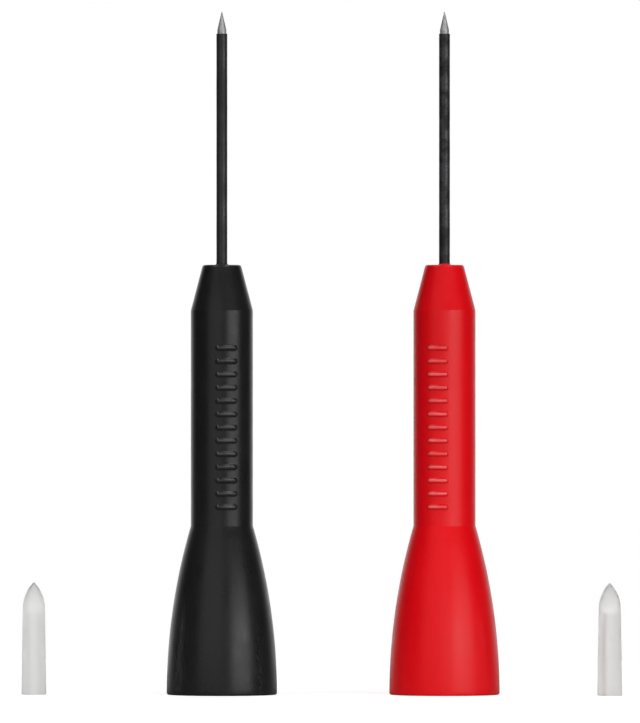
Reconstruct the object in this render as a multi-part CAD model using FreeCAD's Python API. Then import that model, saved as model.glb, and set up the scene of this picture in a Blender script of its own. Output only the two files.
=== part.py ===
import FreeCAD
import Part
import math
import os

# A pair of push-on needle probes for multimeter test leads, one black and one red, with their needle caps
# taken off. Each probe stands upright on the open mouth of its bell, and each cap stands on its own mouth.
# Lengths are in millimetres. X runs along the row of four, Z is up, and the origin is on the surface that
# they stand on, in the middle of the row.

# Places in the row, as seen from the front (the -Y side)
black_probe_x = -10.9
red_probe_x = 13.5
cap_x = 31.5
black_cap_y = 0.0
red_cap_y = -4.5

# Clearances
slip_clearance = 0.02
end_clearance = 0.05
seat_clearance = 0.08

# Contact socket, which takes the 2 mm pin of a test lead
pin_radius = 1.0
pin_depth = 15.0
socket_wall = 0.5
socket_web = 1.5
socket_inset = 0.3
mouth_chamfer = 0.3
finger_length = 9.0
finger_slot = 0.3
slot_turns = (45.0, 135.0)
collar_step = 0.4
collar_height = 1.0

# Needle and the crimped ferrule that fixes it in the socket
needle_radius = 0.5
needle_projection = 27.75
point_length = 2.0
point_tip_radius = 0.04
ferrule_wall = 0.47
ferrule_length = 5.75
ferrule_seat = 4.0
crimp_count = 2
crimp_depth = 0.12
crimp_length = 0.6
crimp_pitch = 0.9
stub_wall = 0.4

# Insulating sleeve, which leaves only the point and a short band of the steel below it bare
sleeve_wall = 0.085
sleeve_setback = 0.42
sleeve_edge = 0.04

# Spring band round the socket's fingers
spring_thickness = 0.3
spring_height = 0.9
spring_groove = 0.1
spring_from_ring = 1.2
spring_gap_angle = 40.0
spring_gap_turn = 90.0

# Hard carrier tube and the ring that closes it
carrier_wall = 0.46
ring_height = 1.5
edge_chamfer = 0.2

# Soft moulded body: bell, grip and nose
grip_wall = 0.98
grip_length = 23.6
nose_wall = 1.445
nose_length = 5.0
bell_flare = 2.65
bell_length = 18.5
bell_wall = 1.0
ceiling_drop = 2.0
mouth_edge = 0.2
crease_fillet = 0.2
shoulder_fillet = 0.6
nose_edge = 0.3
lip_height = 0.12
lip_wall = 0.03

# Raised bars down the front of the grip, spread between its crease and its shoulder
bar_count = 13
bar_thickness = 0.5
bar_length = 2.3
bar_rise = 0.2
bar_root = 0.3
bars_above_crease = 2.1
bars_below_shoulder = 4.1
black_bar_turn = 9.0
red_bar_turn = -13.5

# Needle cap
cap_wall = 0.745
cap_draft = 0.15
cap_straight = 9.4
cap_nose = 2.95
cap_tip_radius = 0.15
cap_bore_depth = 9.0
cap_edge = 0.1

# Radii that follow, from the pin outwards
socket_radius = pin_radius + socket_wall
collar_radius = socket_radius + collar_step
carrier_bore = collar_radius + slip_clearance
carrier_radius = carrier_bore + carrier_wall
body_bore = carrier_radius + slip_clearance
grip_radius = body_bore + grip_wall
mouth_radius = grip_radius + bell_flare
ring_bore = socket_radius + seat_clearance

# Radii that follow, from the needle outwards
sleeve_bore = needle_radius + slip_clearance
sleeve_radius = sleeve_bore + sleeve_wall
needle_hole = sleeve_radius + slip_clearance
nose_radius = needle_hole + nose_wall
ferrule_bore = needle_radius + slip_clearance
ferrule_radius = ferrule_bore + ferrule_wall
stub_bore = ferrule_radius + slip_clearance
stub_radius = stub_bore + stub_wall
carrier_neck = stub_radius + slip_clearance
ferrule_pocket = ferrule_radius + seat_clearance
cap_bore = sleeve_radius + slip_clearance
cap_mouth_radius = cap_bore + cap_wall
cap_shoulder_radius = cap_mouth_radius - cap_draft

# Heights that follow, upwards from the mouth of the bell
ceiling_z = bell_length - ceiling_drop
ring_top_z = ceiling_z + ring_height
socket_mouth_z = ceiling_z + socket_inset
pin_floor_z = socket_mouth_z + pin_depth
web_top_z = pin_floor_z + socket_web
collar_foot_z = web_top_z - collar_height
stub_top_z = web_top_z + ferrule_seat
carrier_foot_z = ring_top_z + end_clearance
carrier_step_z = web_top_z + end_clearance
carrier_top_z = stub_top_z + end_clearance
ferrule_foot_z = web_top_z + end_clearance
ferrule_top_z = ferrule_foot_z + ferrule_length
sleeve_foot_z = ferrule_top_z + end_clearance
shoulder_z = bell_length + grip_length
nose_z = shoulder_z + nose_length
needle_tip_z = nose_z + needle_projection
point_foot_z = needle_tip_z - point_length
sleeve_top_z = point_foot_z - sleeve_setback
spring_foot_z = ring_top_z + spring_from_ring
first_bar_z = bell_length + bars_above_crease
last_bar_z = shoulder_z - bars_below_shoulder
bar_pitch = (last_bar_z - first_bar_z) / (bar_count - 1)

# The bell's outside is one arc that leaves the mouth upright and meets the grip at the crease
bell_arc_radius = (bell_length**2 + bell_flare**2) / (2 * bell_flare)

# How far a cutting shape runs past the surface that it opens
overrun = 1.0

axis_foot = FreeCAD.Vector(0, 0, 0)
axis_up = FreeCAD.Vector(0, 0, 1)
half_root = math.sqrt(0.5)
same_place = 1e-6


def bell_radius(height, inset=0.0):
    """Radius of the bell's arc at a height, on the outside or on a surface that lies inset from it."""
    return mouth_radius - bell_arc_radius + math.sqrt((bell_arc_radius - inset) ** 2 - height**2)


def on_profile(radius, height):
    return FreeCAD.Vector(radius, 0, height)


def turned(steps, sweep=360.0):
    """Solid turned about the Z axis. Each step is a straight line to (radius, height), or an arc through a
    point to the next one, as (radius on the way, height on the way, radius, height)."""
    here = on_profile(*steps[0])
    edges = []
    for step in steps[1:] + steps[:1]:
        there = on_profile(*step[-2:])
        if len(step) == 4:
            edges.append(Part.Arc(here, on_profile(*step[:2]), there).toShape())
        else:
            edges.append(Part.LineSegment(here, there).toShape())
        here = there
    return Part.Face(Part.Wire(edges)).revolve(axis_foot, axis_up, sweep)


def tube(inner, outer, foot, top, foot_chamfer=0.0, top_chamfer=0.0):
    """Round tube with a chamfer on the inner edge of its foot and on the outer edge of its top."""
    steps = [(inner + foot_chamfer, foot), (outer, foot)]
    if top_chamfer:
        steps.append((outer, top - top_chamfer))
    steps.append((outer - top_chamfer, top))
    steps.append((inner, top))
    if foot_chamfer:
        steps.append((inner, foot + foot_chamfer))
    return turned(steps)


def ring_edges(solid, radius, height):
    """The circular edges of one radius at one height, centred on the Z axis."""
    found = []
    for edge in solid.Edges:
        if isinstance(edge.Curve, Part.Circle):
            far = abs(edge.Curve.Radius - radius) + abs(edge.Curve.Center.z - height)
            if far < same_place:
                found.append(edge)
    return found


def body_outside():
    """Bell, grip, cone nose and the small lip that the plastic leaves where the sleeve comes out."""
    lip_top = needle_hole + lip_wall
    lip_foot = lip_top + lip_height
    lip_way = lip_foot - lip_height * half_root
    lip_way_z = nose_z + lip_height * (1 - half_root)
    half_bell = bell_length / 2
    solid = turned(
        [
            (0, 0),
            (mouth_radius, 0),
            (bell_radius(half_bell), half_bell, grip_radius, bell_length),
            (grip_radius, shoulder_z),
            (nose_radius, nose_z),
            (lip_foot, nose_z),
            (lip_way, lip_way_z, lip_top, nose_z + lip_height),
            (0, nose_z + lip_height),
        ]
    )
    solid = solid.makeFillet(mouth_edge, ring_edges(solid, mouth_radius, 0))
    solid = solid.makeFillet(crease_fillet, ring_edges(solid, grip_radius, bell_length))
    solid = solid.makeFillet(shoulder_fillet, ring_edges(solid, grip_radius, shoulder_z))
    return solid.makeFillet(nose_edge, ring_edges(solid, nose_radius, nose_z))


def body_hollow():
    """Everything that is open inside the body: bell, carrier bore, ferrule pocket and needle hole."""
    bore_top = carrier_top_z + end_clearance
    pocket_top = sleeve_foot_z - end_clearance / 2
    cavity_mouth = mouth_radius - bell_wall
    half_ceiling = ceiling_z / 2
    way_radius = bell_radius(half_ceiling, bell_wall)
    ceiling_radius = bell_radius(ceiling_z, bell_wall)
    return turned(
        [
            (0, -overrun),
            (cavity_mouth, -overrun),
            (cavity_mouth, 0),
            (way_radius, half_ceiling, ceiling_radius, ceiling_z),
            (body_bore, ceiling_z),
            (body_bore, bore_top),
            (ferrule_pocket, bore_top),
            (ferrule_pocket, pocket_top),
            (needle_hole, pocket_top),
            (needle_hole, nose_z + lip_height + overrun),
            (0, nose_z + lip_height + overrun),
        ]
    )


def grip_bar(height):
    """One raised bar across the front of the grip, with round ends and a face that follows the grip."""
    reach = bar_length / 2 - bar_thickness / 2
    half = bar_thickness / 2
    corners = [
        FreeCAD.Vector(-reach, 0, height - half),
        FreeCAD.Vector(reach, 0, height - half),
        FreeCAD.Vector(reach, 0, height + half),
        FreeCAD.Vector(-reach, 0, height + half),
    ]
    right_end = FreeCAD.Vector(reach + half, 0, height)
    left_end = FreeCAD.Vector(-reach - half, 0, height)
    edges = [
        Part.LineSegment(corners[0], corners[1]).toShape(),
        Part.Arc(corners[1], right_end, corners[2]).toShape(),
        Part.LineSegment(corners[2], corners[3]).toShape(),
        Part.Arc(corners[3], left_end, corners[0]).toShape(),
    ]
    face = Part.Face(Part.Wire(edges))
    prism = face.extrude(FreeCAD.Vector(0, -grip_radius - bar_rise - overrun, 0))
    root = grip_radius - bar_root
    crown = grip_radius + bar_rise
    shell = tube(root, crown, height - bar_thickness, height + bar_thickness)
    return prism.common(shell)


def body(bar_turn):
    """Soft moulded body of a probe. bar_turn is how far the bars stand round from the front."""
    bars = [grip_bar(first_bar_z + n * bar_pitch) for n in range(bar_count)]
    for bar in bars:
        bar.rotate(axis_foot, axis_up, bar_turn)
    outside = body_outside().fuse(bars)
    solid = outside.cut(body_hollow()).removeSplitter()
    cavity_mouth = mouth_radius - bell_wall
    return solid.makeFillet(mouth_edge, ring_edges(solid, cavity_mouth, 0))


def needle():
    """Steel needle with a cone point, rounded at its very end."""
    tip_way = point_tip_radius * half_root
    tip_way_z = needle_tip_z - point_tip_radius + tip_way
    return turned(
        [
            (0, ferrule_foot_z),
            (needle_radius, ferrule_foot_z),
            (needle_radius, point_foot_z),
            (point_tip_radius, needle_tip_z - point_tip_radius),
            (tip_way, tip_way_z, 0, needle_tip_z),
        ]
    )


def needle_sleeve():
    """Thin insulating sleeve, from the ferrule to a little under the point, with its top edge drawn in."""
    return turned(
        [
            (sleeve_bore, sleeve_foot_z),
            (sleeve_radius, sleeve_foot_z),
            (sleeve_radius, sleeve_top_z - sleeve_edge),
            (sleeve_radius - sleeve_edge, sleeve_top_z),
            (sleeve_bore, sleeve_top_z),
        ]
    )


def needle_ferrule():
    """Brass tube crimped on the needle, with two rolled grooves where it stands out of the socket."""
    steps = [(ferrule_bore, ferrule_foot_z), (ferrule_radius, ferrule_foot_z)]
    for groove in range(crimp_count):
        foot = carrier_top_z + groove * crimp_pitch
        middle = foot + crimp_length / 2
        steps.append((ferrule_radius, foot))
        steps.append((ferrule_radius - crimp_depth, middle, ferrule_radius, foot + crimp_length))
    steps.append((ferrule_radius, ferrule_top_z))
    steps.append((ferrule_bore, ferrule_top_z))
    return turned(steps)


def contact_socket():
    """Brass socket: slotted fingers at the mouth, a collar that seats in the carrier, and a stub that takes
    the ferrule."""
    groove = socket_radius - spring_groove
    spring_top_z = spring_foot_z + spring_height
    solid = turned(
        [
            (pin_radius + mouth_chamfer, socket_mouth_z),
            (socket_radius, socket_mouth_z),
            (socket_radius, spring_foot_z - end_clearance),
            (groove, spring_foot_z - end_clearance),
            (groove, spring_top_z + end_clearance),
            (socket_radius, spring_top_z + end_clearance),
            (socket_radius, collar_foot_z),
            (collar_radius, collar_foot_z),
            (collar_radius, web_top_z),
            (stub_radius, web_top_z),
            (stub_radius, stub_top_z),
            (stub_bore, stub_top_z),
            (stub_bore, web_top_z),
            (0, web_top_z),
            (0, pin_floor_z),
            (pin_radius, pin_floor_z),
            (pin_radius, socket_mouth_z + mouth_chamfer),
        ]
    )
    reach = socket_radius + overrun
    slot = Part.makeBox(
        2 * reach,
        finger_slot,
        finger_length + overrun,
        FreeCAD.Vector(-reach, -finger_slot / 2, socket_mouth_z - overrun),
    )
    for turn in slot_turns:
        cut = slot.copy()
        cut.rotate(axis_foot, axis_up, turn)
        solid = solid.cut(cut)
    return solid


def contact_spring():
    """Spring band that presses the fingers together. It is open at the back, so that it can give."""
    inner = socket_radius - spring_groove + slip_clearance
    outer = inner + spring_thickness
    top = spring_foot_z + spring_height
    section = [(inner, spring_foot_z), (outer, spring_foot_z), (outer, top), (inner, top)]
    band = turned(section, 360 - spring_gap_angle)
    band.rotate(axis_foot, axis_up, spring_gap_turn + spring_gap_angle / 2)
    return band


def socket_carrier():
    """Hard tube that seats the socket in the soft body, with a step that stops the socket's collar."""
    return turned(
        [
            (carrier_bore, carrier_foot_z),
            (carrier_radius, carrier_foot_z),
            (carrier_radius, carrier_top_z - edge_chamfer),
            (carrier_radius - edge_chamfer, carrier_top_z),
            (carrier_neck, carrier_top_z),
            (carrier_neck, carrier_step_z),
            (carrier_bore, carrier_step_z),
        ]
    )


def retaining_ring():
    """Ring pressed in behind the carrier, flush with the bell's ceiling, round the socket's mouth."""
    return tube(ring_bore, carrier_radius, ceiling_z, ring_top_z, edge_chamfer, edge_chamfer)


def needle_cap():
    """Push-on cap: a slightly tapered tube with a pointed, rounded nose and a blind bore for the needle."""
    nose_arc = (cap_nose**2 + cap_shoulder_radius**2) / (2 * cap_shoulder_radius)
    arc_centre = cap_shoulder_radius - nose_arc
    tip_reach = nose_arc - cap_tip_radius
    tip_centre_z = cap_straight + math.sqrt(tip_reach**2 - arc_centre**2)
    rise = math.asin((tip_centre_z - cap_straight) / tip_reach)
    edge_way = cap_edge * (1 - half_root)
    return turned(
        [
            (cap_bore, 0),
            (cap_mouth_radius - cap_edge, 0),
            (cap_mouth_radius - edge_way, edge_way, cap_mouth_radius, cap_edge),
            (cap_shoulder_radius, cap_straight),
            (
                arc_centre + nose_arc * math.cos(rise / 2),
                cap_straight + nose_arc * math.sin(rise / 2),
                arc_centre + nose_arc * math.cos(rise),
                cap_straight + nose_arc * math.sin(rise),
            ),
            (
                cap_tip_radius * math.cos((rise + math.pi / 2) / 2),
                tip_centre_z + cap_tip_radius * math.sin((rise + math.pi / 2) / 2),
                0,
                tip_centre_z + cap_tip_radius,
            ),
            (0, cap_bore_depth + cap_bore),
            (cap_bore, cap_bore_depth),
        ]
    )


def probe(bar_turn):
    """All the pieces of one probe, standing on the origin."""
    return {
        "body": body(bar_turn),
        "needle": needle(),
        "needle_sleeve": needle_sleeve(),
        "needle_ferrule": needle_ferrule(),
        "contact_socket": contact_socket(),
        "contact_spring": contact_spring(),
        "socket_carrier": socket_carrier(),
        "retaining_ring": retaining_ring(),
    }


def write(name, shape, x, y=0.0):
    """Write one piece to its own file, moved to its place in the row."""
    placed = shape.copy()
    placed.translate(FreeCAD.Vector(x, y, 0))
    placed.exportStep(os.path.join("parts", name + ".step"))


def main():
    os.makedirs("parts", exist_ok=True)
    for colour, x, bar_turn in (
        ("black", black_probe_x, black_bar_turn),
        ("red", red_probe_x, red_bar_turn),
    ):
        for piece, shape in probe(bar_turn).items():
            write(colour + "_" + piece, shape, x)
    write("black_cap", needle_cap(), -cap_x, black_cap_y)
    write("red_cap", needle_cap(), cap_x, red_cap_y)


main()
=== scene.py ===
import math

import bpy
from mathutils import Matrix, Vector, noise


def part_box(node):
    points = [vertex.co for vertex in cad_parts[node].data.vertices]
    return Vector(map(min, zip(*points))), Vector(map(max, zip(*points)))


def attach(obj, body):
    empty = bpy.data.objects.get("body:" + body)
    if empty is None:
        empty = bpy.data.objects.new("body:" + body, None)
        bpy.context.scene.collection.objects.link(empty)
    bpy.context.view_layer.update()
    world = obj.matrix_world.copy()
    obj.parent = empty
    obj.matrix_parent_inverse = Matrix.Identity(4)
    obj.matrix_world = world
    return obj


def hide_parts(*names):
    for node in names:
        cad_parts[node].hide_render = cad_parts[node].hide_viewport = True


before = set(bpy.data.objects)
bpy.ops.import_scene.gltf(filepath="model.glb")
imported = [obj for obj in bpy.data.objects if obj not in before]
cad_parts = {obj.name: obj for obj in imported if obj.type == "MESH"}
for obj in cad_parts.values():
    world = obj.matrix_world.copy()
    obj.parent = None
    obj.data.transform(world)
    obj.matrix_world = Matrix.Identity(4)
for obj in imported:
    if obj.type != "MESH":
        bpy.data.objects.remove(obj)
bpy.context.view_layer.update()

# A pair of push-on needle probes for meter leads, one black and one red, with their needle caps taken off
# and stood beside them. Sizes are in millimetres, and MM turns them to metres. Only the lamps' distances and
# sizes and the camera's clip range are in metres. Radii and heights that the frame's boxes give are read
# from there.
MM = 0.001


def node_axis(node):
    """The upright axis of a round node, as (x, y) in millimetres."""
    low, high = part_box(node)
    return (low.x + high.x) / 2 / MM, (low.y + high.y) / 2 / MM


def node_radius(node):
    """Half the width of a round node along X, in millimetres."""
    low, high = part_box(node)
    return (high.x - low.x) / 2 / MM


def node_heights(node):
    """The lowest and highest point of a node, in millimetres."""
    low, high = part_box(node)
    return low.z / MM, high.z / MM


# Radii and heights from the frame, the same for both probes
mouth_radius = node_radius("black_body")
body_top_z = node_heights("black_body")[1]
sleeve_radius = node_radius("black_needle_sleeve")
sleeve_foot_z, sleeve_top_z = node_heights("black_needle_sleeve")
needle_radius = node_radius("black_needle")
needle_foot_z, needle_tip_z = node_heights("black_needle")
carrier_radius = node_radius("black_socket_carrier")
carrier_top_z = node_heights("black_socket_carrier")[1]
ferrule_radius = node_radius("black_needle_ferrule")
ceiling_z = node_heights("black_retaining_ring")[0]
cap_mouth_radius = node_radius("black_cap")

# Clearances, as in the frame
slip_clearance = 0.02
end_clearance = 0.05
seat_clearance = 0.08

# Soft moulded body
bell_flare = 2.65
bell_length = 18.5
bell_wall = 1.0
grip_length = 23.6
nose_length = 5.0
nose_radius = 2.07
mouth_edge = 0.2
crease_fillet = 0.2
shoulder_fillet = 0.6
nose_edge = 0.3
lip_height = 0.12
lip_wall = 0.03

grip_radius = mouth_radius - bell_flare
shoulder_z = bell_length + grip_length
nose_z = shoulder_z + nose_length
needle_hole = sleeve_radius + slip_clearance
body_bore = carrier_radius + slip_clearance
ferrule_pocket = ferrule_radius + seat_clearance
bell_arc_radius = (bell_length**2 + bell_flare**2) / (2 * bell_flare)

# Raised bars down the front of the grip, which each probe has turned a few degrees from the front
bar_count = 13
bar_thickness = 0.5
bar_length = 2.3
bar_rise = 0.2
bar_edge = 0.1
bars_above_crease = 2.1
bars_below_shoulder = 4.1
first_bar_z = bell_length + bars_above_crease
last_bar_z = shoulder_z - bars_below_shoulder
bar_pitch = (last_bar_z - first_bar_z) / (bar_count - 1)
bar_turns = {"black": 9.0, "red": -13.5}

# Parting line of the two-part mould, on the left and right sides
parting_rise = 0.02
parting_width = 0.06

# Needle and its sleeve
point_length = 2.0
point_tip_radius = 0.04
point_fillet = 0.03
needle_foot_fillet = 0.05
sleeve_bore = needle_radius + slip_clearance
sleeve_edge = 0.04
sleeve_wave = 0.012
sleeve_wave_length = 2.6

# Needle cap
cap_bore = sleeve_radius + slip_clearance
cap_draft = 0.15
cap_straight = 9.4
cap_nose = 2.95
cap_tip_radius = 0.15
cap_bore_depth = 9.0
cap_edge = 0.1
cap_wave = 0.02
cap_wave_length = 3.0
cap_shoulder_radius = cap_mouth_radius - cap_draft

# Mesh fineness. Rows lie above and below the middle of each bar, close together where its edge rounds over,
# and columns lie to both sides of the parting line. An edge sharper than the crisp angle isn't smoothed.
corner_steps = 5
body_columns = 120
needle_columns = 64
cap_columns = 96
bell_rows = 30
bar_row_offsets = [0.0, 0.05, 0.09, 0.13, 0.17, 0.21, 0.25, 0.29, 0.33, 0.37, 0.46]
bar_column_step = 0.08
parting_offsets_degrees = [0.0, 0.4, 0.8, 1.3, 2.0]
sleeve_row_step = 0.3
cap_wall_rows = 24
cap_nose_rows = 16
crisp_angle_degrees = 32
TINY = 1e-6


def linear(code):
    """Linear colour of an sRGB hex code."""
    channels = [int(code[n : n + 2], 16) / 255 for n in (1, 3, 5)]
    return [c / 12.92 if c <= 0.04045 else ((c + 0.055) / 1.055) ** 2.4 for c in channels] + [1.0]


def add(tree, kind, settings=None, sockets=None):
    """Adds a node, with its settings, and its sockets set to a value or linked to another node's output."""
    made = tree.nodes.new(kind)
    for name, value in (settings or {}).items():
        setattr(made, name, value)
    for name, value in (sockets or {}).items():
        if isinstance(value, bpy.types.NodeSocket):
            tree.links.new(value, made.inputs[name])
        else:
            made.inputs[name].default_value = value
    return made


def arc(centre, size, start, end, steps=corner_steps):
    """Points of an arc between two angles. Angle 0 is away from the axis, and a quarter turn is up."""
    points = []
    for step in range(steps + 1):
        turn = start + (end - start) * step / steps
        points.append((centre[0] + size * math.cos(turn), centre[1] + size * math.sin(turn)))
    return points


def rounded(corners):
    """Points of an outline whose corners are (radius, height, fillet). The first and last stay sharp."""
    points = []
    for n, (radius, height, fillet) in enumerate(corners):
        if not fillet or n in (0, len(corners) - 1):
            points.append((radius, height))
            continue
        here = Vector((radius, height))
        back = (Vector(corners[n - 1][:2]) - here).normalized()
        onward = (Vector(corners[n + 1][:2]) - here).normalized()
        half = back.angle(onward) / 2
        reach = fillet / math.tan(half)
        centre = here + (back + onward).normalized() * (fillet / math.sin(half))
        start = here + back * reach - centre
        end = here + onward * reach - centre
        first = math.atan2(start.y, start.x)
        points += arc(centre, fillet, first, first - start.angle_signed(end))
    return points


def ring_faces(low, high, columns):
    """Faces between two rings of vertices, where a ring of one vertex is a point on the axis."""
    faces = []
    for n in range(columns):
        after = (n + 1) % columns
        if len(low) == 1:
            faces.append((low[0], high[after], high[n]))
        elif len(high) == 1:
            faces.append((low[n], low[after], high[0]))
        else:
            faces.append((low[n], low[after], high[after], high[n]))
    return faces


def turned_mesh(name, outline, angles, axis, swell=None):
    """Piece turned about an upright axis. The outline is (radius, height) in millimetres. It closes on
    itself, or starts and ends on the axis. swell(angle, radius, height) moves the surface out by what it
    gives."""
    vertices = []
    rings = []
    for radius, height in outline:
        if radius < TINY:
            rings.append([len(vertices)])
            vertices.append((axis[0] * MM, axis[1] * MM, height * MM))
            continue
        rings.append(list(range(len(vertices), len(vertices) + len(angles))))
        for angle in angles:
            out = radius + (swell(angle, radius, height) if swell else 0.0)
            x = axis[0] + out * math.sin(angle)
            y = axis[1] - out * math.cos(angle)
            vertices.append((x * MM, y * MM, height * MM))
    pairs = list(zip(rings, rings[1:]))
    if len(rings[0]) > 1:
        pairs.append((rings[-1], rings[0]))
    faces = []
    for low, high in pairs:
        if len(low) > 1 or len(high) > 1:
            faces += ring_faces(low, high, len(angles))
    mesh = bpy.data.meshes.new(name)
    mesh.from_pydata(vertices, [], faces)
    mesh.validate()
    mesh.shade_smooth()
    mesh.set_sharp_from_angle(angle=math.radians(crisp_angle_degrees))
    piece = bpy.data.objects.new(name, mesh)
    bpy.context.scene.collection.objects.link(piece)
    return piece


def even_angles(columns):
    """Directions spaced evenly all round."""
    return [2 * math.pi * n / columns for n in range(columns)]


def finish_piece(piece, body, slot, material, *nodes):
    """Gives a new piece its material and its body, and hides the nodes that it stands for. The slot is not
    used.
    """
    piece.data.materials.append(material)
    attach(piece, body)
    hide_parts(*nodes)


# Materials


def new_material(name):
    """An empty material, and the tree for its nodes."""
    material = bpy.data.materials.new(name)
    material.use_nodes = True
    material.node_tree.nodes.clear()
    return material, material.node_tree


def finish_material(tree, shader):
    """Gives the material its surface."""
    add(tree, "ShaderNodeOutputMaterial", sockets={"Surface": shader})


def seen_white(tree, path):
    """1 for what the camera sees straight or through the caps, and 0 for all other light."""
    return add(
        tree,
        "ShaderNodeMath",
        {"operation": "MAXIMUM"},
        {0: path.outputs["Is Camera Ray"], 1: path.outputs["Is Transmission Ray"]},
    ).outputs["Value"]


def mottled_skin(tree, mottle, grain, colour, deep):
    """Skin between two colours: a slight mottle, with the grain as a fine speckle over it."""
    speckle_share = 0.4
    speckle = add(tree, "ShaderNodeMapRange", sockets={"Value": grain, "From Min": 0.3, "From Max": 0.7})
    shade = add(
        tree,
        "ShaderNodeMix",
        {"data_type": "FLOAT"},
        {"Factor": speckle_share, "A": mottle, "B": speckle.outputs["Result"]},
    )
    tint = add(
        tree,
        "ShaderNodeMix",
        {"data_type": "RGBA"},
        {"Factor": shade.outputs["Result"], "A": linear(deep), "B": linear(colour)},
    )
    return tint.outputs["Result"]


def bar_wear_and_painted_light(tree, skin, mottle, rub_and_highlight, grime_and_shade):
    """The tops of the raised bars are painted paler than the skin in patches, partly as handling wear and
    partly as painted highlight, and their feet are painted darker, partly as grime and partly as painted
    shade. The mesh says how far each place stands out, from 0 on the skin to 1 on the top of a bar."""
    stand = add(tree, "ShaderNodeAttribute", {"attribute_name": "stand_out"}).outputs["Fac"]
    # Painted shade and grime at a bar's foot are thickest a quarter of the way up the bar, and there is none
    # from half way up
    thickest_at = 0.25
    thickest = 0.75
    near_foot = add(tree, "ShaderNodeMath", {"operation": "PINGPONG"}, {0: stand, 1: thickest_at})
    below_half = add(
        tree,
        "ShaderNodeMapRange",
        sockets={
            "Value": stand,
            "From Min": 0.5,
            "From Max": 0.3,
            "To Min": 0.0,
            "To Max": thickest / thickest_at,
        },
    )
    shade_and_dirt = add(
        tree,
        "ShaderNodeMath",
        {"operation": "MULTIPLY"},
        {0: near_foot.outputs["Value"], 1: below_half.outputs["Result"]},
    )
    # The bars' feet are painted darker, partly as grime and partly as painted shade
    shaded_and_dirty = add(
        tree,
        "ShaderNodeMix",
        {"data_type": "RGBA"},
        {"Factor": shade_and_dirt.outputs["Value"], "A": skin, "B": linear(grime_and_shade)},
    )
    near_top = add(tree, "ShaderNodeMapRange", sockets={"Value": stand, "From Min": 0.5, "From Max": 0.9})
    patches = add(
        tree,
        "ShaderNodeMapRange",
        sockets={"Value": mottle, "From Min": 0.35, "From Max": 0.6, "To Min": 0.35, "To Max": 0.9},
    )
    wear_and_highlight = add(
        tree,
        "ShaderNodeMath",
        {"operation": "MULTIPLY"},
        {0: near_top.outputs["Result"], 1: patches.outputs["Result"]},
    )
    # The bars' tops are painted paler, partly as handling wear and partly as painted highlight
    worn_and_highlit = add(
        tree,
        "ShaderNodeMix",
        {"data_type": "RGBA"},
        {"Factor": wear_and_highlight.outputs["Value"], "A": shaded_and_dirty.outputs["Result"], "B": linear(rub_and_highlight)},
    )
    return worn_and_highlit.outputs["Result"]


def moulded_plastic(name, colour, deep, roughness, shine=0.5, rub_and_highlight=None, grime_and_shade=None):
    """Plastic, injection moulded in a spark-eroded tool: an even satin skin with a fine grain, a slight
    mottle between two colours, and patches that are a little duller or glossier. The two colours given for
    raised bars are a paler one on their tops, partly handling wear and partly painted highlight, and a darker
    one at their feet, partly grime and partly painted shade."""
    material, tree = new_material(name)
    place = add(tree, "ShaderNodeTexCoord").outputs["Object"]
    mottle_size = 2.5
    mottle = add(
        tree,
        "ShaderNodeTexNoise",
        sockets={"Vector": place, "Scale": 1 / (mottle_size * MM), "Detail": 4.0, "Roughness": 0.6},
    ).outputs["Fac"]
    # The tool's grain is about 0.05 mm, drawn at 0.18 mm so that it shows
    grain_size = 0.18
    grain_height = 0.01
    grain = add(
        tree,
        "ShaderNodeTexNoise",
        sockets={"Vector": place, "Scale": 1 / (grain_size * MM), "Detail": 2.0, "Roughness": 0.6},
    ).outputs["Fac"]
    skin = mottled_skin(tree, mottle, grain, colour, deep)
    if rub_and_highlight:
        skin = bar_wear_and_painted_light(tree, skin, mottle, rub_and_highlight, grime_and_shade)
    roughness_change = 0.05
    dulling = add(
        tree,
        "ShaderNodeMapRange",
        sockets={
            "Value": mottle,
            "From Min": 0.3,
            "From Max": 0.7,
            "To Min": roughness - roughness_change,
            "To Max": roughness + roughness_change,
        },
    )
    bump = add(
        tree,
        "ShaderNodeBump",
        sockets={"Height": grain, "Distance": grain_height * MM, "Strength": 1.0},
    )
    shader = add(
        tree,
        "ShaderNodeBsdfPrincipled",
        sockets={
            "Base Color": skin,
            "Roughness": dulling.outputs["Result"],
            "Normal": bump.outputs["Normal"],
            "IOR": 1.5,
            "Specular IOR Level": shine,
        },
    )
    finish_material(tree, shader.outputs["BSDF"])
    return material


def soft_pvc_black():
    """Plasticised PVC in black: deep and satin, with clear soft highlights, and bars painted grey on top,
    partly as wear and partly as painted highlight, and darker at their feet as painted shade and grime.
    """
    return moulded_plastic(
        "soft_pvc_black",
        colour="#1f1f21",
        deep="#171718",
        roughness=0.31,
        rub_and_highlight="#48484a",
        grime_and_shade="#060606",
    )


def soft_pvc_red():
    """Plasticised PVC in red: warm and full, with less shine than the black, and bars painted pink on top,
    partly as wear and partly as painted highlight, and darker at their feet as painted shade and grime.
    """
    return moulded_plastic(
        "soft_pvc_red",
        colour="#f20312",
        deep="#e20210",
        roughness=0.34,
        shine=0.34,
        rub_and_highlight="#ff7270",
        grime_and_shade="#b00008",
    )


def moulded_nylon_black():
    """Nylon, moulded black: harder and drier than the PVC, so its sheen is dull."""
    return moulded_plastic("moulded_nylon_black", colour="#28282a", deep="#1c1c1e", roughness=0.42)


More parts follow.
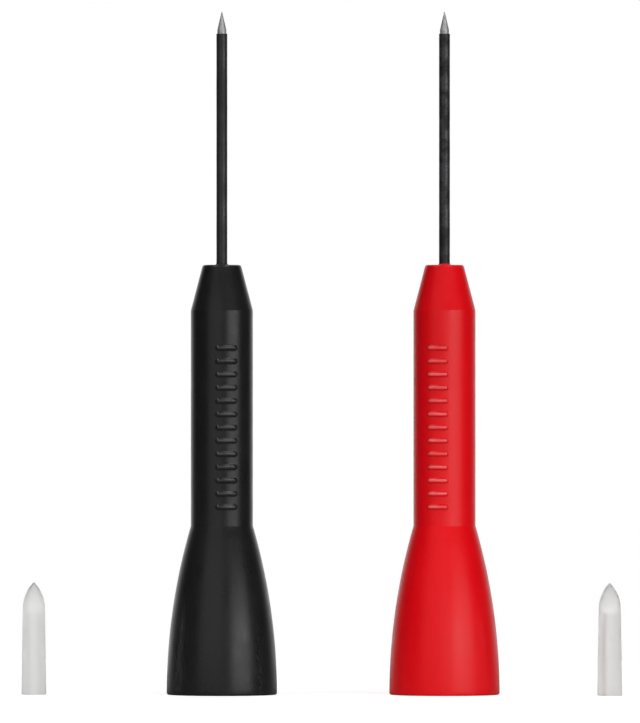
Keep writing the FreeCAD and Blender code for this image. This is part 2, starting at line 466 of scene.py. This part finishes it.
def dipped_coat(name, colour, deep, run_length):
    """Insulating coat, dipped and cured on the needle: dark grey and half glossy, with paler glossy runs that
    break up the sheen along its length, and small pits. A run's length is in millimetres."""
    material, tree = new_material(name)
    place = add(tree, "ShaderNodeTexCoord").outputs["Object"]
    runs = add(
        tree,
        "ShaderNodeTexNoise",
        sockets={"Vector": place, "Scale": 1 / (run_length * MM), "Detail": 4.0, "Roughness": 0.6},
    )
    smear = add(
        tree,
        "ShaderNodeMapRange",
        {"interpolation_type": "SMOOTHSTEP"},
        {"Value": runs.outputs["Fac"], "From Min": 0.35, "From Max": 0.65},
    ).outputs["Result"]
    tint = add(
        tree,
        "ShaderNodeMix",
        {"data_type": "RGBA"},
        {"Factor": smear, "A": linear(deep), "B": linear(colour)},
    )
    dull_roughness = 0.5
    glossy_roughness = 0.26
    dulling = add(
        tree,
        "ShaderNodeMapRange",
        sockets={"Value": smear, "To Min": dull_roughness, "To Max": glossy_roughness},
    )
    pit_size = 0.35
    pit_depth = 0.02
    pits = add(
        tree,
        "ShaderNodeTexNoise",
        sockets={"Vector": place, "Scale": 1 / (pit_size * MM), "Detail": 3.0, "Roughness": 0.55},
    )
    bump = add(
        tree,
        "ShaderNodeBump",
        sockets={"Height": pits.outputs["Fac"], "Distance": pit_depth * MM, "Strength": 1.0},
    )
    shader = add(
        tree,
        "ShaderNodeBsdfPrincipled",
        sockets={
            "Base Color": tint.outputs["Result"],
            "Roughness": dulling.outputs["Result"],
            "Normal": bump.outputs["Normal"],
            "IOR": 1.5,
        },
    )
    finish_material(tree, shader.outputs["BSDF"])
    return material


def dipped_coat_even():
    """The black probe's coat, little used: long faint runs in nearly one grey."""
    return dipped_coat("dipped_coat", colour="#303032", deep="#242426", run_length=4.0)


def dipped_coat_worn():
    """The red probe's coat, more used: short patches, worn pale and glossy between dark ones."""
    return dipped_coat("dipped_coat_worn", colour="#3a3a3d", deep="#161618", run_length=1.6)


def metal(name, colour, dark, roughness, line_pitch, line_depth):
    """Metal whose finish is fine lines round the piece, as a lathe or a grinding wheel leaves them. Pitch and
    depth are in millimetres, drawn coarser than the real lines so that they show."""
    material, tree = new_material(name)
    place = add(tree, "ShaderNodeTexCoord").outputs["Object"]
    # The pattern hardly changes across the piece, so that its lines run round it
    across = 0.02
    along = add(tree, "ShaderNodeMapping", sockets={"Vector": place, "Scale": (across, across, 1.0)})
    lines = add(
        tree,
        "ShaderNodeTexNoise",
        sockets={
            "Vector": along.outputs["Vector"],
            "Scale": 1 / (line_pitch * MM),
            "Detail": 4.0,
            "Roughness": 0.7,
        },
    ).outputs["Fac"]
    tint = add(
        tree,
        "ShaderNodeMix",
        {"data_type": "RGBA"},
        {"Factor": lines, "A": linear(dark), "B": linear(colour)},
    )
    roughness_change = 0.08
    dulling = add(
        tree,
        "ShaderNodeMapRange",
        sockets={
            "Value": lines,
            "To Min": roughness - roughness_change,
            "To Max": roughness + roughness_change,
        },
    )
    bump = add(
        tree,
        "ShaderNodeBump",
        sockets={"Height": lines, "Distance": line_depth * MM, "Strength": 1.0},
    )
    shader = add(
        tree,
        "ShaderNodeBsdfPrincipled",
        sockets={
            "Base Color": tint.outputs["Result"],
            "Metallic": 1.0,
            "Roughness": dulling.outputs["Result"],
            "Normal": bump.outputs["Normal"],
        },
    )
    finish_material(tree, shader.outputs["BSDF"])
    return material


def ground_steel():
    """Hardened steel, ground to its point: pale and satin, with grinding lines round it. The real lines are
    about 0.02 mm apart."""
    return metal(
        "ground_steel",
        colour="#fdfdfe",
        dark="#d6d6d8",
        roughness=0.58,
        line_pitch=0.05,
        line_depth=0.005,
    )


def turned_brass():
    """Brass, turned on a lathe: warm yellow and fairly bright, with tool lines round it. The real lines are
    about 0.05 mm apart."""
    return metal(
        "turned_brass",
        colour="#d9b667",
        dark="#b8924a",
        roughness=0.3,
        line_pitch=0.08,
        line_depth=0.003,
    )


def rolled_spring_steel():
    """Spring steel strip, rolled and bent into a band: a middle grey, less bright than the brass, with the
    roller's lines along the strip. The real lines are about 0.02 mm apart."""
    return metal(
        "rolled_spring_steel",
        colour="#b4b5b8",
        dark="#8f9093",
        roughness=0.35,
        line_pitch=0.06,
        line_depth=0.002,
    )


def natural_polythene():
    """Natural low-density polythene, injection moulded: waxy and milky, so that light goes through it but
    shapes behind it blur away."""
    material, tree = new_material("natural_polythene")
    place = add(tree, "ShaderNodeTexCoord").outputs["Object"]
    cloud_size = 2.0
    clouds = add(
        tree,
        "ShaderNodeTexNoise",
        sockets={"Vector": place, "Scale": 1 / (cloud_size * MM), "Detail": 3.0},
    )
    tint = add(
        tree,
        "ShaderNodeMix",
        {"data_type": "RGBA"},
        {"Factor": clouds.outputs["Fac"], "A": linear("#f6f6f5"), "B": linear("#f9f9f8")},
    )
    flow_size = 0.6
    flow_depth = 0.012
    flow = add(
        tree,
        "ShaderNodeTexNoise",
        sockets={"Vector": place, "Scale": 1 / (flow_size * MM), "Detail": 2.0},
    )
    bump = add(
        tree,
        "ShaderNodeBump",
        sockets={"Height": flow.outputs["Fac"], "Distance": flow_depth * MM, "Strength": 1.0},
    )
    shader = add(
        tree,
        "ShaderNodeBsdfPrincipled",
        sockets={
            "Base Color": tint.outputs["Result"],
            "Roughness": 0.5,
            "IOR": 1.51,
            "Transmission Weight": 0.97,
            "Subsurface Weight": 1.0,
            "Subsurface Radius": (1.0, 0.95, 0.9),
            "Subsurface Scale": 0.5 * MM,
            "Normal": bump.outputs["Normal"],
        },
    )
    dimming = add(
        tree, "ShaderNodeVolumeAbsorption", sockets={"Color": linear("#e8e7e6"), "Density": 130.0}
    )
    add(
        tree,
        "ShaderNodeOutputMaterial",
        sockets={"Surface": shader.outputs["BSDF"], "Volume": dimming.outputs["Volume"]},
    )
    return material


def matt_white_board():
    """Matt white board that the set stands on. It shows white to the eye and through the caps, and keeps
    the set's shadow. Reflections see it darker, so that it lays no grey haze on the glossy plastics."""
    material, tree = new_material("matt_white_board")
    path = add(tree, "ShaderNodeLightPath")
    place = add(tree, "ShaderNodeTexCoord").outputs["Object"]
    fibre_size = 0.4
    fibres = add(tree, "ShaderNodeTexNoise", sockets={"Vector": place, "Scale": 1 / (fibre_size * MM)})
    tint = add(
        tree,
        "ShaderNodeMix",
        {"data_type": "RGBA"},
        {"Factor": fibres.outputs["Fac"], "A": linear("#c8c8c7"), "B": linear("#cdcdcc")},
    )
    mirrored_share = 0.4
    share = add(
        tree,
        "ShaderNodeMapRange",
        sockets={"Value": path.outputs["Is Glossy Ray"], "To Min": 1.0, "To Max": mirrored_share},
    )
    shade = add(
        tree,
        "ShaderNodeMix",
        {"data_type": "RGBA", "blend_type": "MULTIPLY"},
        {"Factor": 1.0, "A": tint.outputs["Result"], "B": share.outputs["Result"]},
    )
    matt = add(tree, "ShaderNodeBsdfDiffuse", sockets={"Color": shade.outputs["Result"]})
    # What the lamps leave to reach white, where the eye sees the board
    lift_level = 0.68
    lift = add(tree, "ShaderNodeMath", {"operation": "MULTIPLY"}, {0: seen_white(tree, path), 1: lift_level})
    light = add(tree, "ShaderNodeEmission", sockets={"Strength": lift.outputs["Value"]})
    both = add(tree, "ShaderNodeAddShader", sockets={0: matt.outputs["BSDF"], 1: light.outputs["Emission"]})
    finish_material(tree, both.outputs["Shader"])
    return material


# Pieces


def bell_radius(height, inset=0.0):
    """Radius of the bell's arc at a height, on the outside or on a surface that lies inset from it."""
    return mouth_radius - bell_arc_radius + math.sqrt((bell_arc_radius - inset) ** 2 - height**2)


def bar_rows():
    """Heights of the mesh rows over the bars."""
    spread = sorted({-offset for offset in bar_row_offsets} | set(bar_row_offsets))
    return [first_bar_z + n * bar_pitch + offset for n in range(bar_count) for offset in spread]


def outside_corners():
    """Corners of the body's outline, up the outside from the middle of the rim to the needle's hole."""
    heights = [bell_length * n / bell_rows for n in range(1, bell_rows)]
    lip_foot = needle_hole + lip_wall + lip_height
    lip = arc((lip_foot, nose_z + lip_height), lip_height, -math.pi / 2, -math.pi)
    return [
        (mouth_radius - bell_wall / 2, 0, 0),
        (mouth_radius, 0, mouth_edge),
        *[(bell_radius(z), z, 0) for z in heights],
        (grip_radius, bell_length, crease_fillet),
        *[(grip_radius, z, 0) for z in bar_rows()],
        (grip_radius, shoulder_z, shoulder_fillet),
        (nose_radius, nose_z, nose_edge),
        *[(radius, z, 0) for radius, z in lip],
        (needle_hole, nose_z + lip_height, 0),
    ]


def inside_corners():
    """Corners of the body's outline, down the inside from the needle's hole to the rim."""
    pocket_top = sleeve_foot_z - end_clearance / 2
    bore_top = carrier_top_z + 2 * end_clearance
    cavity_mouth = mouth_radius - bell_wall
    heights = [ceiling_z * n / bell_rows for n in range(bell_rows, 0, -1)]
    return [
        (needle_hole, pocket_top, 0),
        (ferrule_pocket, pocket_top, 0),
        (ferrule_pocket, bore_top, 0),
        (body_bore, bore_top, 0),
        (body_bore, ceiling_z, 0),
        *[(bell_radius(z, bell_wall), z, 0) for z in heights],
        (cavity_mouth, 0, mouth_edge),
        (cavity_mouth + bell_wall / 4, 0, 0),
    ]


def body_angles(turn):
    """Directions of the mesh columns: even all round, close together over the bars and the parting line."""
    step = bar_column_step / grip_radius
    half_bar = (bar_length / 2 + 2 * bar_edge) / grip_radius
    fine = int(half_bar / step)
    angles = [turn + n * step for n in range(-fine, fine + 1)]
    for side in (math.pi / 2, -math.pi / 2):
        for offset in parting_offsets_degrees:
            angles += [side + math.radians(offset), side - math.radians(offset)]
    # An even column is left out where a close one lies nearer than about half the even columns' pitch
    least_gap = 0.55 * math.radians(360 / body_columns)
    for even in even_angles(body_columns):
        nearest = min(abs(math.remainder(even - angle, 2 * math.pi)) for angle in angles)
        if nearest > least_gap:
            angles.append(even)
    # Rounded, so that a column that comes twice is kept once
    return sorted({round(angle % (2 * math.pi), 9) for angle in angles})


def smooth(low, high, value):
    """0 below low, 1 above high, and a smooth rise between them."""
    share = min(max((value - low) / (high - low), 0.0), 1.0)
    return share * share * (3 - 2 * share)


def bar_height(turn, angle, height):
    """How far a bar stands out at a place on the grip, as a share of its full height."""
    straight = (bar_length - bar_thickness) / 2
    across = math.remainder(angle - turn, 2 * math.pi) * grip_radius
    row = min(max(round((height - first_bar_z) / bar_pitch), 0), bar_count - 1)
    up = height - first_bar_z - row * bar_pitch
    away = math.hypot(max(abs(across) - straight, 0.0), up) - bar_thickness / 2
    return 1 - smooth(-bar_thickness / 2, bar_edge, away)


def body_swell(turn):
    """How far the body's skin stands out: the bars at the front and the parting line on both sides."""

    def swell(angle, radius, height):
        inside = radius < grip_radius - TINY and height < shoulder_z
        if inside or radius < nose_radius - nose_edge:
            return 0.0
        from_side = abs(math.remainder(angle, 2 * math.pi)) - math.pi / 2
        line = parting_rise * math.exp(-((from_side * radius / parting_width) ** 2))
        if height < mouth_edge:
            line = 0.0
        return line + bar_rise * bar_height(turn, angle, height)

    return swell


def mark_bars(piece, axis, turn):
    """Writes in the mesh how far each place stands out, for the material."""
    stand_out = piece.data.attributes.new("stand_out", "FLOAT", "POINT")
    for vertex, value in zip(piece.data.vertices, stand_out.data):
        x = vertex.co.x / MM - axis[0]
        y = vertex.co.y / MM - axis[1]
        if math.hypot(x, y) > grip_radius - TINY:
            value.value = bar_height(turn, math.atan2(x, -y), vertex.co.z / MM)


def body(colour, material):
    """Bell, grip and nose, moulded in one."""
    node = colour + "_body"
    axis = node_axis(node)
    turn = math.radians(bar_turns[colour])
    outline = rounded(outside_corners() + inside_corners())
    piece = turned_mesh(colour + "_moulded_body", outline, body_angles(turn), axis, body_swell(turn))
    mark_bars(piece, axis, turn)
    # Neither probe shows as a dark streak in the other's shine
    piece.visible_glossy = False
    finish_piece(piece, colour + "_probe", colour + "_plastic", material, node)


def needle(colour, material):
    """Steel needle, with its ground point."""
    node = colour + "_needle"
    tip_centre_z = needle_tip_z - point_tip_radius
    outline = rounded(
        [
            (0, needle_foot_z, 0),
            (needle_radius, needle_foot_z, needle_foot_fillet),
            (needle_radius, needle_tip_z - point_length, point_fillet),
            (point_tip_radius, tip_centre_z, 0),
        ]
    )
    outline += arc((0, tip_centre_z), point_tip_radius, 0, math.pi / 2)[1:]
    piece = turned_mesh(colour + "_steel_needle", outline, even_angles(needle_columns), node_axis(node))
    finish_piece(piece, colour + "_probe", "needle_steel", material, node)


def unevenness(axis, angle, height, wave_length):
    """How far a place on a round piece lies below its highest waves, from 0 to 1."""
    place = Vector((math.sin(angle) + axis[0], -math.cos(angle), height / wave_length))
    return 0.5 + 0.5 * noise.noise(place)


def sleeve(colour, material):
    """Insulating coat on the needle, a little uneven where it shows above the nose."""
    node = colour + "_needle_sleeve"
    axis = node_axis(node)
    rows = int((sleeve_top_z - sleeve_edge - body_top_z) / sleeve_row_step)
    outline = [
        (sleeve_bore, sleeve_foot_z),
        (sleeve_radius, sleeve_foot_z),
        *[(sleeve_radius, body_top_z + sleeve_row_step * n) for n in range(rows + 1)],
        (sleeve_radius, sleeve_top_z - sleeve_edge),
        (sleeve_radius - sleeve_edge / 3, sleeve_top_z - sleeve_edge / 3),
        (sleeve_radius - sleeve_edge, sleeve_top_z),
        (sleeve_bore, sleeve_top_z),
    ]

    def swell(angle, radius, height):
        if radius < sleeve_radius - TINY or height <= body_top_z:
            return 0.0
        return -sleeve_wave * unevenness(axis, angle, height, sleeve_wave_length)

    name = colour + "_insulating_sleeve"
    piece = turned_mesh(name, outline, even_angles(needle_columns), axis, swell)
    finish_piece(piece, colour + "_probe", "sleeve_coating", material, node)


def cap_outline():
    """Outline of a cap: from the middle of its rim up the outside to the tip, and down the blind bore."""
    nose_arc = (cap_nose**2 + cap_shoulder_radius**2) / (2 * cap_shoulder_radius)
    nose_centre = (cap_shoulder_radius - nose_arc, cap_straight)
    tip_reach = nose_arc - cap_tip_radius
    tip_centre = (0, cap_straight + math.sqrt(tip_reach**2 - nose_centre[0] ** 2))
    rise = math.asin((tip_centre[1] - cap_straight) / tip_reach)
    rim_centre = (cap_mouth_radius - cap_edge, cap_edge)
    wall = []
    for row in range(1, cap_wall_rows + 1):
        share = row / cap_wall_rows
        wall.append((cap_mouth_radius - cap_draft * share, cap_edge + (cap_straight - cap_edge) * share))
    return [
        ((cap_bore + cap_mouth_radius) / 2, 0),
        *arc(rim_centre, cap_edge, -math.pi / 2, 0),
        *wall,
        *arc(nose_centre, nose_arc, 0, rise, cap_nose_rows)[1:],
        *arc(tip_centre, cap_tip_radius, rise, math.pi / 2)[1:],
        (0, cap_bore_depth + cap_bore),
        (cap_bore, cap_bore_depth),
        (cap_bore, 0),
    ]


def cap(colour, material):
    """Needle cap: a tapered tube with a pointed nose and a blind bore, a little wavy on the outside."""
    node = colour + "_cap"
    axis = node_axis(node)

    def swell(angle, radius, height):
        if radius < cap_bore + TINY or height < cap_edge + TINY:
            return 0.0
        fading_to_tip = min(1.0, radius / cap_shoulder_radius)
        return -cap_wave * unevenness(axis, angle, height, cap_wave_length) * fading_to_tip

    piece = turned_mesh(colour + "_needle_cap", cap_outline(), even_angles(cap_columns), axis, swell)
    finish_piece(piece, colour + "_cap", "cap_plastic", material, node)


def paint(node, material):
    """Gives a node of the frame its material."""
    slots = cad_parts[node].data.materials
    slots.clear()
    slots.append(material)


def build():
    """Every piece of the set, one probe after the other."""
    skins = {"black": soft_pvc_black(), "red": soft_pvc_red()}
    coats = {"black": dipped_coat_even(), "red": dipped_coat_worn()}
    steel = ground_steel()
    brass = turned_brass()
    spring = rolled_spring_steel()
    nylon = moulded_nylon_black()
    polythene = natural_polythene()
    for colour in ("black", "red"):
        body(colour, skins[colour])
        needle(colour, steel)
        sleeve(colour, coats[colour])
        cap(colour, polythene)
        paint(colour + "_needle_ferrule", brass)
        paint(colour + "_contact_socket", brass)
        paint(colour + "_contact_spring", spring)
        paint(colour + "_socket_carrier", nylon)
        paint(colour + "_retaining_ring", nylon)


# Floor, light and camera


def floor():
    """Round white board under the set."""
    board_radius = 150.0
    sides = 128
    rim = [
        (board_radius * MM * math.cos(angle), board_radius * MM * math.sin(angle), 0.0)
        for angle in even_angles(sides)
    ]
    mesh = bpy.data.meshes.new("white_board")
    mesh.from_pydata(rim, [], [tuple(range(sides))])
    board = bpy.data.objects.new("white_board", mesh)
    board.data.materials.append(matt_white_board())
    bpy.context.scene.collection.objects.link(board)


def mirrored_back(tree, path):
    """White that reflections see at the back, where it lights the rims, fading to none near the sides."""
    fade_from = 0.2
    fade_power = 3.0
    way = add(tree, "ShaderNodeTexCoord").outputs["Generated"]
    back = add(tree, "ShaderNodeVectorMath", {"operation": "DOT_PRODUCT"}, {0: way, 1: (0.0, 1.0, 0.0)})
    near_back = add(
        tree,
        "ShaderNodeMapRange",
        {"interpolation_type": "SMOOTHSTEP"},
        {"Value": back.outputs["Value"], "From Min": fade_from, "From Max": 1.0},
    )
    faded = add(
        tree,
        "ShaderNodeMath",
        {"operation": "POWER"},
        {0: near_back.outputs["Result"], 1: fade_power},
    )
    return add(
        tree,
        "ShaderNodeMath",
        {"operation": "MULTIPLY"},
        {0: path.outputs["Is Glossy Ray"], 1: faded.outputs["Value"]},
    ).outputs["Value"]


def studio_world():
    """A dim studio, dimmer still in reflections, with a background that is white to the eye, through the
    caps and, towards the back, in reflections."""
    dim_level = 0.075
    mirrored_level = 0.02
    world = bpy.data.worlds.new("studio")
    bpy.context.scene.world = world
    world.use_nodes = True
    tree = world.node_tree
    tree.nodes.clear()
    path = add(tree, "ShaderNodeLightPath")
    white = add(
        tree,
        "ShaderNodeMath",
        {"operation": "MAXIMUM"},
        {0: seen_white(tree, path), 1: mirrored_back(tree, path)},
    )
    walls = add(
        tree,
        "ShaderNodeMapRange",
        sockets={"Value": path.outputs["Is Glossy Ray"], "To Min": dim_level, "To Max": mirrored_level},
    )
    level = add(
        tree,
        "ShaderNodeMath",
        {"operation": "MAXIMUM"},
        {0: white.outputs["Value"], 1: walls.outputs["Result"]},
    )
    sky = (1.0, 1.0, 1.0, 1.0)
    light = add(tree, "ShaderNodeBackground", sockets={"Color": sky, "Strength": level.outputs["Value"]})
    add(tree, "ShaderNodeOutputWorld", sockets={"Surface": light.outputs["Background"]})


def hang(lamp, away, distance, aim_z):
    """Hangs a lamp in the direction away, at a distance in metres from the point that it faces. The point is
    in the middle of the row, and aim_z is its height in millimetres."""
    thing = bpy.data.objects.new(lamp.name, lamp)
    thing.location = Vector((0, 0, aim_z * MM)) + away * distance
    thing.rotation_euler = away.to_track_quat("Z", "Y").to_euler()
    bpy.context.scene.collection.objects.link(thing)
    return thing


def feather(lamp):
    """Fades a softbox's face towards its edges."""
    feather_width = 0.25
    lamp.use_nodes = True
    tree = lamp.node_tree
    tree.nodes.clear()
    spot = add(tree, "ShaderNodeNewGeometry").outputs["Parametric"]
    off = add(tree, "ShaderNodeVectorMath", {"operation": "SUBTRACT"}, {0: spot, 1: (0.5, 0.5, 0.0)})
    out = add(tree, "ShaderNodeVectorMath", {"operation": "ABSOLUTE"}, {0: off.outputs["Vector"]})
    sides = add(tree, "ShaderNodeSeparateXYZ", sockets={"Vector": out.outputs["Vector"]})
    fades = [
        add(
            tree,
            "ShaderNodeMapRange",
            {"interpolation_type": "SMOOTHSTEP"},
            {
                "Value": sides.outputs[side],
                "From Min": 0.5 - feather_width,
                "From Max": 0.5,
                "To Min": 1.0,
                "To Max": 0.0,
            },
        ).outputs["Result"]
        for side in ("X", "Y")
    ]
    face = add(tree, "ShaderNodeMath", {"operation": "MULTIPLY"}, {0: fades[0], 1: fades[1]})
    glow = add(tree, "ShaderNodeEmission", sockets={"Strength": face.outputs["Value"]})
    add(tree, "ShaderNodeOutputLight", sockets={"Surface": glow.outputs["Emission"]})


def softbox(name, azimuth, elevation, distance, width, height, level, shines=True):
    """Softbox that faces the middle of the set. Its direction is in degrees, with azimuth 0 at the camera and
    90 to the right of the set, and its distance and size are in metres. Level is how bright its face is,
    where the white background is 1. One that doesn't shine stands for light off the room, too even to show
    in a reflection."""
    aim_z = 25
    lamp = bpy.data.lights.new(name, "AREA")
    lamp.shape = "RECTANGLE"
    lamp.size = width
    lamp.size_y = height
    lamp.energy = level * math.pi * width * height
    feather(lamp)
    across = math.radians(azimuth)
    up = math.radians(elevation)
    away = Vector((math.sin(across) * math.cos(up), -math.cos(across) * math.cos(up), math.sin(up)))
    thing = hang(lamp, away, distance, aim_z)
    thing.visible_camera = False
    thing.visible_glossy = shines
    thing.visible_transmission = shines


def bell_spot():
    """Soft spot from the front left, low down. It is aimed below the floor and fades out up the grips, so
    that the bells are lit a little more than what is above them."""
    azimuth = math.radians(-20.0)
    rise = 0.04
    distance = 1.5
    aim_z = -15
    lamp = bpy.data.lights.new("bell_spot", "SPOT")
    lamp.energy = 15.0
    lamp.spot_size = math.radians(4.8)
    lamp.spot_blend = 1.0
    lamp.shadow_soft_size = 0.012
    away = Vector((math.sin(azimuth), -math.cos(azimuth), rise))
    thing = hang(lamp, away, distance, aim_z)
    thing.visible_glossy = False


def studio_lamps():
    """The spot on the bells, two softboxes low at the front, three high up, and two that don't shine."""
    room_light = {"distance": 1.5, "width": 1.4, "height": 0.9, "shines": False}
    bell_spot()
    softbox("right_strip", azimuth=43, elevation=7, distance=1.0, width=1.05, height=0.36, level=2.9)
    softbox("front_fill", azimuth=-24, elevation=13, distance=1.6, width=2.2, height=1.6, level=0.5)
    softbox("key", azimuth=38, elevation=60, distance=1.2, width=0.8, height=0.5, level=4.5)
    softbox("left_high", azimuth=-62, elevation=60, distance=1.2, width=0.7, height=0.5, level=4.2)
    softbox("low_front", azimuth=20, elevation=4, level=3.3, **room_light)
    softbox("back_high", azimuth=165, elevation=50, distance=1.4, width=1.2, height=0.6, level=2.6)
    softbox("low_back", azimuth=190, elevation=10, level=4.4, **room_light)


def camera():
    """Long lens, level with the middle of the picture, a good way off."""
    picture_width, picture_height = 640, 723
    millimetre_per_pixel = 0.1096
    floor_row = 694.6
    row_middle_column = 321.3
    distance = 1300.0
    sensor = 36.0
    view_height = picture_height * millimetre_per_pixel
    eye_z = (floor_row - picture_height / 2) * millimetre_per_pixel
    eye_x = (picture_width / 2 - row_middle_column) * millimetre_per_pixel
    lens = bpy.data.cameras.new("camera")
    lens.sensor_width = sensor
    lens.lens = sensor * distance / view_height
    lens.clip_start = 0.01
    lens.clip_end = 20.0
    eye = bpy.data.objects.new("camera", lens)
    eye.location = (eye_x * MM, -distance * MM, eye_z * MM)
    eye.rotation_euler = (math.pi / 2, 0, 0)
    bpy.context.scene.collection.objects.link(eye)
    bpy.context.scene.camera = eye


build()
floor()
studio_world()
studio_lamps()
camera()
bpy.context.scene.view_settings.view_transform = "Standard"
